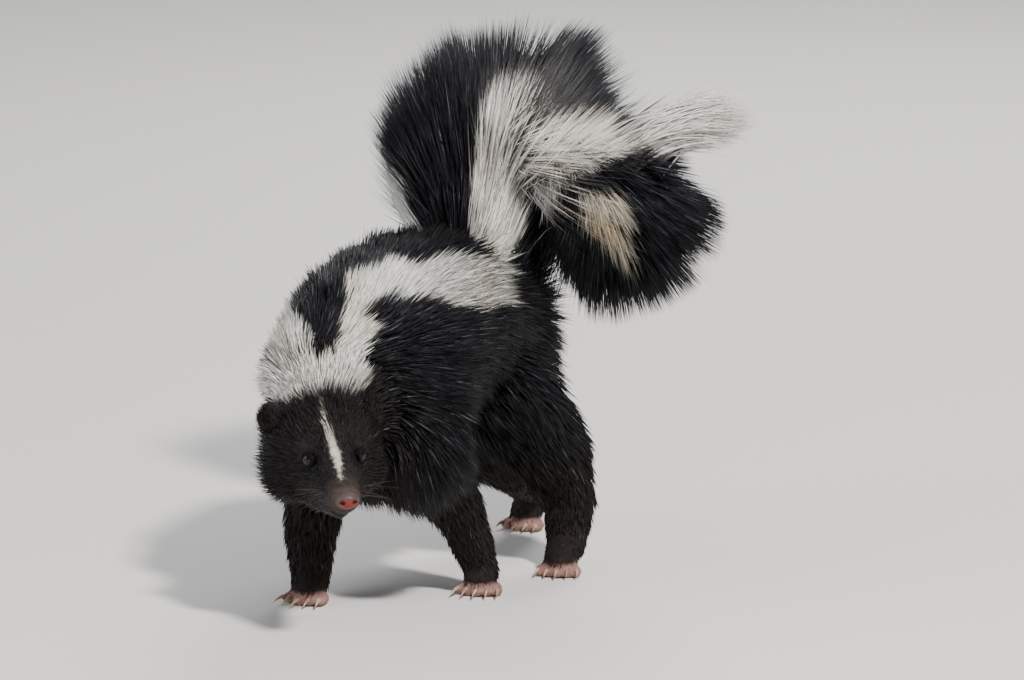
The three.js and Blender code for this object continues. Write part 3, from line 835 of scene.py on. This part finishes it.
def tuft_mesh(roots, directions, bends, lengths, widths, sections):
    """Three-sided tapered tufts, closed at the root: points, faces, shares of the length, points in each."""
    count = len(roots)
    steps = np.linspace(0, 1, sections + 1)[:-1] ** 0.9
    side = unit(np.cross(directions, rng.normal(size=(count, 3))))
    rings = []
    shares = []
    for t in steps:
        centre = roots + directions * (lengths * t)[:, None] + bends * (lengths * t * t)[:, None]
        along = unit(directions + 2 * t * bends)
        across = unit(side - along * (side * along).sum(axis=1, keepdims=True))
        up = np.cross(along, across)
        radius = widths * 0.5 * (1 - t**TUFT_TAPER) * (0.75 + 0.25 * min(1, t * 6))
        for corner in range(3):
            angle = corner * 2 * math.pi / 3
            flat = TUFT_FLATNESS if corner else 1.0
            offset = across * math.cos(angle) + up * math.sin(angle) * flat
            rings.append(centre + offset * radius[:, None])
            shares.append(np.full(count, t))
    rings.append(roots + directions * lengths[:, None] + bends * lengths[:, None])
    shares.append(np.ones(count))
    each = 3 * sections + 1
    all_points = np.stack(rings, axis=1).reshape(-1, 3)
    share = np.stack(shares, axis=1).reshape(-1)
    faces = [(0, 2, 1)]
    for n in range(sections - 1):
        for k in range(3):
            a, b = 3 * n + k, 3 * n + (k + 1) % 3
            faces += [(a, b, b + 3), (a, b + 3, a + 3)]
    last = 3 * (sections - 1)
    faces += [(last + k, last + (k + 1) % 3, last + 3) for k in range(3)]
    faces = np.array(faces)[None] + (np.arange(count) * each)[:, None, None]
    return all_points, faces.reshape(-1, 3), share, each


def grow(label, covered, roots, directions, bends, lengths, widths, sections, root_colour, tip_colour):
    """Coat pieces of one part, each below the limit of triangles, with a small patch for every tuft."""
    per_tuft = 1 + 6 * (sections - 1) + 3
    most = MOST_TRIANGLES // per_tuft
    order = np.argsort(roots @ np.array(PIECE_WAY), kind="stable")
    groups = np.array_split(order, math.ceil(len(order) / most))
    for n, chosen in enumerate(groups):
        mesh_points, faces, share, each = tuft_mesh(
            roots[chosen], directions[chosen], bends[chosen], lengths[chosen], widths[chosen], sections
        )
        mesh_points[:, 2] = np.maximum(mesh_points[:, 2], COAT_FLOOR)
        obj = mesh_object(f"coat_{label}_{n + 1}", mesh_points, faces, fur_material)
        t = smooth((share - 0.3) / 0.5)[:, None]
        colours = np.repeat(root_colour[chosen], each, axis=0) * (1 - t)
        colours += np.repeat(tip_colour[chosen], each, axis=0) * t
        # Painted shade: each tuft is darkened towards its root, where the coat shades itself
        colours *= (0.55 + 0.45 * smooth(share * 2.2))[:, None]
        paint(obj, np.clip(colours, 0, 1))
        place = np.repeat(unwrap(roots[chosen]), each, axis=0)
        corner = np.tile(np.arange(each) % 3, len(chosen))
        place[:, 0] += (corner / 2 - 0.5) * PATCH
        place[:, 1] += (share - 0.5) * PATCH
        layer = obj.data.uv_layers.new(name="OFBake")
        layer.data.foreach_set("uv", place[faces.ravel()].astype(np.float32).ravel())
        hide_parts(*covered)


# Solids that each coat stands for
COVERED = {
    "head": ("head",),
    "body": ("torso", "neck"),
    "legs": ("foreleg_right", "foreleg_left", "hindleg_right", "hindleg_left"),
    "tail": ("tail_base", "tail_middle", "tail_tip"),
    "ear": ("head",),
}

eye_gap = np.linalg.norm(mirrored(in_head) - np.array(EYE), axis=1)
open_skin = smooth((eye_gap - 4.7) / 1.2) * smooth((nose_gap - 0.6) / 2) * smooth((mouth_gap - 0.4) / 1.5)
hairy = open_skin * (1 - bare) * (points[:, 2] > 3)
is_tail = (part == TAIL_PART) & (chain_reach(points, PLUME)[2] > 0.12)
is_head = part == HEAD_PART
is_leg = np.isin(part, LIMB_PARTS)
PART_OF = {"head": is_head, "body": ~(is_tail | is_head | is_leg), "legs": is_leg, "tail": is_tail}


def lying_hair(roots, normal, spread):
    """Way, bend and length of hairs that lie along the body."""
    count = len(roots)
    _, hair, flow, lean, _ = region_fields(roots, normal)
    sway = 0.24 * wave(roots, 40, 21)[:, None] * np.cross(normal, flow)
    flow = unit(flow + sway + rng.normal(size=roots.shape) * 0.13)
    lean = lean + wave(roots, 16, 22) * spread + rng.normal(size=count) * spread * 0.6
    turn = np.radians(np.clip(lean, 6, 60))[:, None]
    directions = unit(flow * np.cos(turn) + normal * np.sin(turn))
    bends = np.tile((0, 0, -0.05), (count, 1)) - normal * 0.14
    return directions, bends, hair * (1 + 0.12 * wave(roots, 14, 23) + rng.normal(size=count) * 0.11)


def tail_hair(roots, normal):
    """Way, bend and length of the tail's hairs, which leave its core steeply and end at its outline."""
    count = len(roots)
    _, tangent, share, (hair,) = chain_reach(roots, PLUME_SKIN, PLUME_HAIR)
    end_way = unit(np.array(PLUME[-1][:3]) - np.array(PLUME[-2][:3]))
    past_end = smooth((roots - np.array(PLUME[-1][:3])) @ end_way / 7 + 0.2)
    lean = np.interp(share, PLUME_SHARES, PLUME_LEAN) + wave(roots, 14, 22) * 10 + rng.normal(size=count) * 6
    lean = lean * (1 - past_end) + rng.uniform(8, 75, count) * past_end
    turn = np.radians(lean)[:, None]
    stray = np.where(rng.random((count, 1)) < 0.06, 0.35, 0.12)
    directions = unit(tangent * np.cos(turn) + normal * np.sin(turn) + rng.normal(size=roots.shape) * stray)
    curl = np.interp(share, PLUME_SHARES, PLUME_CURL) * (1 - 0.7 * past_end)
    bends = tangent * curl[:, None] + np.array((0, 0, -0.07))
    ragged = np.interp(share, PLUME_SHARES, PLUME_RAGGED)
    blown = 10 * (directions @ unit(np.array(PLUME_BLOWN))) * smooth((0.8 - share) / 0.3)
    lifted = 11 * np.maximum(directions @ np.array(PLUME_LIFTED), 0) * smooth((share - 0.74) / 0.12)
    goal = np.interp(share, PLUME_SHARES, PLUME_OVER) + blown + lifted
    goal = goal + ragged * (wave(roots, 13, 25) + rng.normal(size=count) * 0.4)
    lengths = hair
    for _ in range(5):
        tips = roots + (directions + bends) * lengths[:, None]
        over = np.maximum(chain_distance(tips, PLUME) - goal, tips[:, 2] - PLUME_TOP)
        over = np.maximum(over, PLUME_SIDE - tips[:, 0])
        lengths = np.clip(lengths - over * 0.7, 14, hair * 1.25)
    return directions, bends, lengths


def ear_hair(roots, normal):
    """Way, bend and length of the short hairs that lie up and back over an ear."""
    flow = np.tile(np.array((0.0, 0.5, 0.85)) @ HEAD_TURN.T, (len(roots), 1))
    flow = flow - normal * (flow * normal).sum(axis=1, keepdims=True)
    directions = unit(unit(flow) + normal * 0.45 + rng.normal(size=roots.shape) * 0.15)
    return directions, normal * -0.1, rng.uniform(*EAR_HAIR, len(roots))


WAYS = {
    "head": lambda roots, normal: lying_hair(roots, normal, 5),
    "body": lambda roots, normal: lying_hair(roots, normal, 8),
    "legs": lambda roots, normal: lying_hair(roots, normal, 5),
    "tail": tail_hair,
    "ear": ear_hair,
}


def along(roots, directions, bends, lengths, share):
    return roots + (directions + bends * share) * (lengths * share)[:, None]


def coat_of(name, surface, density, label):
    """Grow one part's coat on a surface: tufts drawn together in clumps, each with its own tone."""
    count, sections, width = TUFTS[name]
    roots, normal = root_places(surface, count, density)
    directions, bends, lengths = WAYS[name](roots, normal)
    tips = along(roots, directions, bends, lengths, 1)
    clump, pull = CLUMPS[name]
    gathered = clumped(tips, roots, clump, pull * rng.uniform(0.3, 1.3, count))
    directions = (gathered - roots) / lengths[:, None] - bends
    lengths = np.linalg.norm(gathered - roots, axis=1)
    directions = (gathered - roots) / lengths[:, None] - bends
    near, far = COLOUR_AT[name]
    inner, _ = markings(along(roots, directions, bends, lengths, near) + normal * 1.5)
    outer, outer_white = markings(along(roots, directions, bends, lengths, far) + normal * 1.5)
    tone = rng.uniform(0.75, 1.2, (count, 1))
    # Painted sheen: a share of dark tufts get pale grey tips, standing in for light glinting on the black
    # hair
    sheen_tufts = rng.random(count) < PAINTED_SHEEN_SHARE[name]
    sheen = np.array(GREY_SHEEN) * rng.uniform(0.5, 1.8, (count, 1))
    outer = np.where((sheen_tufts & (outer_white < 0.5))[:, None], sheen, outer)
    thick = width * rng.uniform(0.65, 1.3, count) * np.interp(lengths, [2, 12, 80], [0.6, 1.0, 1.15])
    grow(
        label,
        COVERED[name],
        roots - normal * ROOT_DEPTH,
        directions,
        bends,
        lengths,
        thick,
        sections,
        inner * tone,
        outer * tone,
    )


skin_surface = (points, quads, normals)
for name, share in PART_OF.items():
    weight = share * hairy
    if name in ("head", "legs"):
        weight = weight / np.maximum(hair, 1.8) * (1 + 1.5 * fading(nose_gap, 30, 20))
    coat_of(name, skin_surface, weight, name)


# Ears
def turned_in(q, centre, turn):
    """Points in the frame of a piece of the head that is turned about the head's upright axis."""
    angle = math.radians(turn)
    q = q - np.array(centre)
    x = q[:, 0] * math.cos(angle) + q[:, 1] * math.sin(angle)
    y = -q[:, 0] * math.sin(angle) + q[:, 1] * math.cos(angle)
    return np.stack([x, y, q[:, 2]], axis=1)


for side, word in ((1, "left"), (-1, "right")):
    ear_at = np.array(EAR["at"]) * (side, 1, 1)
    turn = EAR["turn"] * side
    cup_at = (ear_at[0] + side * EAR["cup"] * 0.9, ear_at[1] - EAR["cup"], ear_at[2] + 0.8)

    def ear_distance(q, ear_at=ear_at, turn=turn, cup_at=cup_at):
        outer = ellipsoid(turned_in(q, ear_at, turn), (0, 0, 0), [s - EAR_SKIN for s in EAR["size"]])
        inner = ellipsoid(turned_in(q, cup_at, turn), (0, 0, 0), [s * EAR_CUP for s in EAR["size"]])
        return cut(outer, inner, 1.0)

    ear_points, ear_faces = net_of(ear_distance, ear_at - EAR_ROOM, ear_at + EAR_ROOM, EAR_CELL)
    ear = mesh_object(f"ear_skin_{word}", out_of_head(ear_points), ear_faces, skin_material)
    paint(ear, np.tile(np.array(BROWN) * 0.7, (len(ear_points), 1)))
    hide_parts(f"ear_{word}")
    corners = ear_points[ear_faces]
    face_normals = np.cross(corners[:, 2] - corners[:, 0], corners[:, 3] - corners[:, 1])
    ear_normals = np.zeros_like(ear_points)
    for n in range(4):
        np.add.at(ear_normals, ear_faces[:, n], face_normals)
    in_cup = np.linalg.norm(ear_points - np.array(cup_at), axis=1) < EAR["size"][1] * 0.78
    ear_surface = (out_of_head(ear_points), ear_faces, unit(ear_normals) @ HEAD_TURN.T)
    coat_of("ear", ear_surface, 1 - 0.8 * in_cup, f"ear_{word}")


# White tuft at the tail's end
tuft_count = TUFT_HAIRS
goal = np.array(TUFT_TIPS)[rng.integers(0, len(TUFT_TIPS), tuft_count)]
goal = goal + rng.normal(size=(tuft_count, 3)) * TUFT_TIP_SPREAD
start = np.array(TUFT_ROOT) + rng.normal(size=(tuft_count, 3)) * TUFT_ROOT_SPREAD
reach = np.linalg.norm(goal - start, axis=1)
sag = np.tile(np.array(TUFT_BEND), (tuft_count, 1))
pale = mix(WHITE, CREAM, rng.random(tuft_count) * 0.1)
grow(
    "tuft",
    COVERED["tail"],
    start,
    (goal - start) / reach[:, None] - sag,
    sag,
    reach * rng.uniform(0.75, 1.0, tuft_count),
    rng.uniform(*TUFT_WIDTHS, tuft_count),
    4,
    pale,
    pale,
)


# Eyes, lids and nose
def ball(centre, radius, sides=40, rings=24):
    """Round ball as points and triangles."""
    angles = np.linspace(0, math.pi, rings + 1)[1:-1]
    around = np.arange(sides) * 2 * math.pi / sides
    grid = [
        (math.sin(down) * math.cos(turn), math.sin(down) * math.sin(turn), math.cos(down))
        for down in angles
        for turn in around
    ]
    top, bottom = len(grid), len(grid) + 1
    all_points = np.array(grid + [(0, 0, 1), (0, 0, -1)]) * radius + np.array(centre)
    faces = []
    for n in range(rings - 2):
        for k in range(sides):
            a, b = n * sides + k, n * sides + (k + 1) % sides
            faces += [(a, a + sides, b + sides), (a, b + sides, b)]
    for k in range(sides):
        last = (rings - 2) * sides
        faces.append((top, k, (k + 1) % sides))
        faces.append((bottom, last + (k + 1) % sides, last + k))
    return all_points, np.array(faces)


def nose_skin(q):
    """Nose pad with its nostrils and a shallow groove down its front."""
    d = ellipsoid(q, NOSE[0], [s - 0.2 for s in NOSE[1]])
    d = cut(d, ellipsoid(mirrored(q), *NOSTRIL), 0.8)
    groove = np.maximum(np.abs(q[:, 0]) - GROOVE_WIDTH / 2, q[:, 1] - GROOVE_BACK)
    return cut(d, groove, 0.5)


for side, word in ((1, "left"), (-1, "right")):
    centre = np.array(EYE) * (side, 1, 1)
    eye_points, eye_faces = ball(centre + np.array(EYE_OUT) * (side, 1, 1), EYE_RADIUS)
    eye = mesh_object(f"eyeball_{word}", out_of_head(eye_points), eye_faces, eye_material)
    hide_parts(f"eye_{word}")

    def lid_distance(q, centre=centre, side=side):
        ring = []
        for n in range(LID_STEPS + 1):
            angle = n * 2 * math.pi / LID_STEPS
            across = LID_RADIUS * math.cos(angle)
            ring.append(
                (
                    centre[0] + side * (1.6 + across * 0.55),
                    centre[1] - 1.9 + across * 0.84,
                    centre[2] + 0.4 + LID_RADIUS * 0.86 * math.sin(angle),
                    LID_BEAD,
                )
            )
        return chain_distance(q, ring)

    lid_points, lid_faces = net_of(lid_distance, centre - FACE_ROOM, centre + FACE_ROOM, FINE_CELL)
    lid = mesh_object(f"eyelid_{word}", out_of_head(lid_points), lid_faces, lid_material)

nose_at = np.array(NOSE[0])
nose_points, nose_faces = net_of(nose_skin, nose_at - FACE_ROOM, nose_at + FACE_ROOM, FINE_CELL)
nose_piece = mesh_object("nose_pad", out_of_head(nose_points), nose_faces, nose_material)
red_gap = ellipsoid(nose_points, *NOSE_FRONT)
paint(nose_piece, mix(NOSE_RED, NOSE_GREY, smooth((red_gap + 1) / 1.6)))
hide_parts("nose")


# Claws and whiskers
claw_points = []
claw_faces = []
for paw in PAWS.values():
    length = paw["claw"] + 1.6
    for centre, forward, _ in toes_of(paw):
        side = np.cross(forward, (0, 0, 1))
        start = centre + forward * (paw["toe"] - 2.2) + np.array((0, 0, 1.2))
        first = len(claw_points)
        for n in range(CLAW_STEPS):
            t = n / CLAW_STEPS
            spot = start + forward * length * t + np.array((0, 0, 1.0 * t - 3.4 * t * t))
            radius = CLAW_RADIUS * (1 - t**1.6)
            for k in range(CLAW_SIDES):
                angle = k * 2 * math.pi / CLAW_SIDES
                offset = side * math.cos(angle) * 0.75 + np.array((0, 0, 1)) * math.sin(angle)
                claw_points.append(spot + offset * radius)
        claw_points.append(start + forward * length + np.array((0, 0, -2.4)))
        for n in range(CLAW_STEPS - 1):
            for k in range(CLAW_SIDES):
                a = first + CLAW_SIDES * n + k
                b = first + CLAW_SIDES * n + (k + 1) % CLAW_SIDES
                claw_faces += [(a, b, b + CLAW_SIDES), (a, b + CLAW_SIDES, a + CLAW_SIDES)]
        tip = first + CLAW_SIDES * CLAW_STEPS
        last = tip - CLAW_SIDES
        claw_faces += [(last + k, last + (k + 1) % CLAW_SIDES, tip) for k in range(CLAW_SIDES)]
        claw_faces += [(first, first + k + 1, first + k) for k in range(1, CLAW_SIDES - 1)]
claw_points = np.array(claw_points)
claw_points[:, 2] = np.maximum(claw_points[:, 2], CLAW_FLOOR)
claws = mesh_object("claws", claw_points, claw_faces, claw_material)

whisker_side = np.where(np.arange(WHISKERS) % 2 == 0, 1, -1)
root = np.stack(
    [
        whisker_side * rng.uniform(7.0, 9.0, WHISKERS),
        rng.uniform(-50, -43, WHISKERS),
        rng.uniform(-11, -5, WHISKERS),
    ],
    axis=1,
)
aim = np.stack(
    [
        whisker_side * rng.uniform(0.75, 1.0, WHISKERS),
        rng.uniform(-0.15, 0.45, WHISKERS),
        rng.uniform(-0.35, 0.25, WHISKERS),
    ],
    axis=1,
)
droop = np.tile((0.0, 0.15, -0.25), (WHISKERS, 1))
whisker_points, whisker_faces, _, _ = tuft_mesh(
    out_of_head(root),
    unit(aim) @ HEAD_TURN.T,
    droop @ HEAD_TURN.T,
    rng.uniform(18, 30, WHISKERS),
    np.full(WHISKERS, 0.4),
    5,
)
whiskers = mesh_object("whiskers", whisker_points, whisker_faces, whisker_material)


# Floor, light and camera
def stage_floor():
    mesh = bpy.data.meshes.new("floor")
    corners = [(x * FLOOR_SIZE, y * FLOOR_SIZE, 0) for x, y in ((-1, -1), (1, -1), (1, 1), (-1, 1))]
    mesh.from_pydata(corners, [], [(0, 1, 2, 3)])
    material, _, _, shader = material_with_nodes("floor_paper")
    shader.inputs["Base Color"].default_value = FLOOR_COLOUR
    shader.inputs["Roughness"].default_value = 0.9
    mesh.materials.append(material)
    floor = bpy.data.objects.new("floor", mesh)
    bpy.context.scene.collection.objects.link(floor)


def area_light(name, place, target, size, watts, colour):
    light = bpy.data.lights.new(name, "AREA")
    light.shape = "DISK"
    light.size = size
    light.energy = watts
    light.color = colour
    obj = bpy.data.objects.new(name, light)
    obj.location = place
    obj.rotation_euler = (Vector(target) - Vector(place)).to_track_quat("-Z", "Y").to_euler()
    bpy.context.scene.collection.objects.link(obj)


stage_floor()
for name, light in LIGHTS.items():
    area_light(name, *light)

world = bpy.data.worlds.new("studio")
world.use_nodes = True
background = world.node_tree.nodes["Background"]
background.inputs["Color"].default_value = DAYLIGHT[0]
background.inputs["Strength"].default_value = DAYLIGHT[1]
bpy.context.scene.world = world


def away(azimuth, elevation):
    return Vector(
        (
            math.sin(azimuth) * math.cos(elevation),
            -math.cos(azimuth) * math.cos(elevation),
            math.sin(elevation),
        )
    )


azimuth, elevation = math.radians(CAMERA_AZIMUTH), math.radians(CAMERA_ELEVATION)
eye_place = np.array(CAMERA_AIM) + np.array(away(azimuth, elevation)) * CAMERA_DISTANCE
sideways = math.atan((WIDTH / 2 - AIM_AT_PIXEL[0]) / FOCAL_PIXELS)
upwards = math.atan((AIM_AT_PIXEL[1] - HEIGHT / 2) / FOCAL_PIXELS)
camera_data = bpy.data.cameras.new("camera")
camera_data.sensor_width = SENSOR
camera_data.lens = FOCAL_PIXELS * SENSOR / WIDTH
camera = bpy.data.objects.new("camera", camera_data)
camera.location = to_metres(eye_place)
turned = away(azimuth - sideways / math.cos(elevation), elevation - upwards)
camera.rotation_euler = turned.to_track_quat("Z", "Y").to_euler()
bpy.context.scene.collection.objects.link(camera)
bpy.context.scene.camera = camera
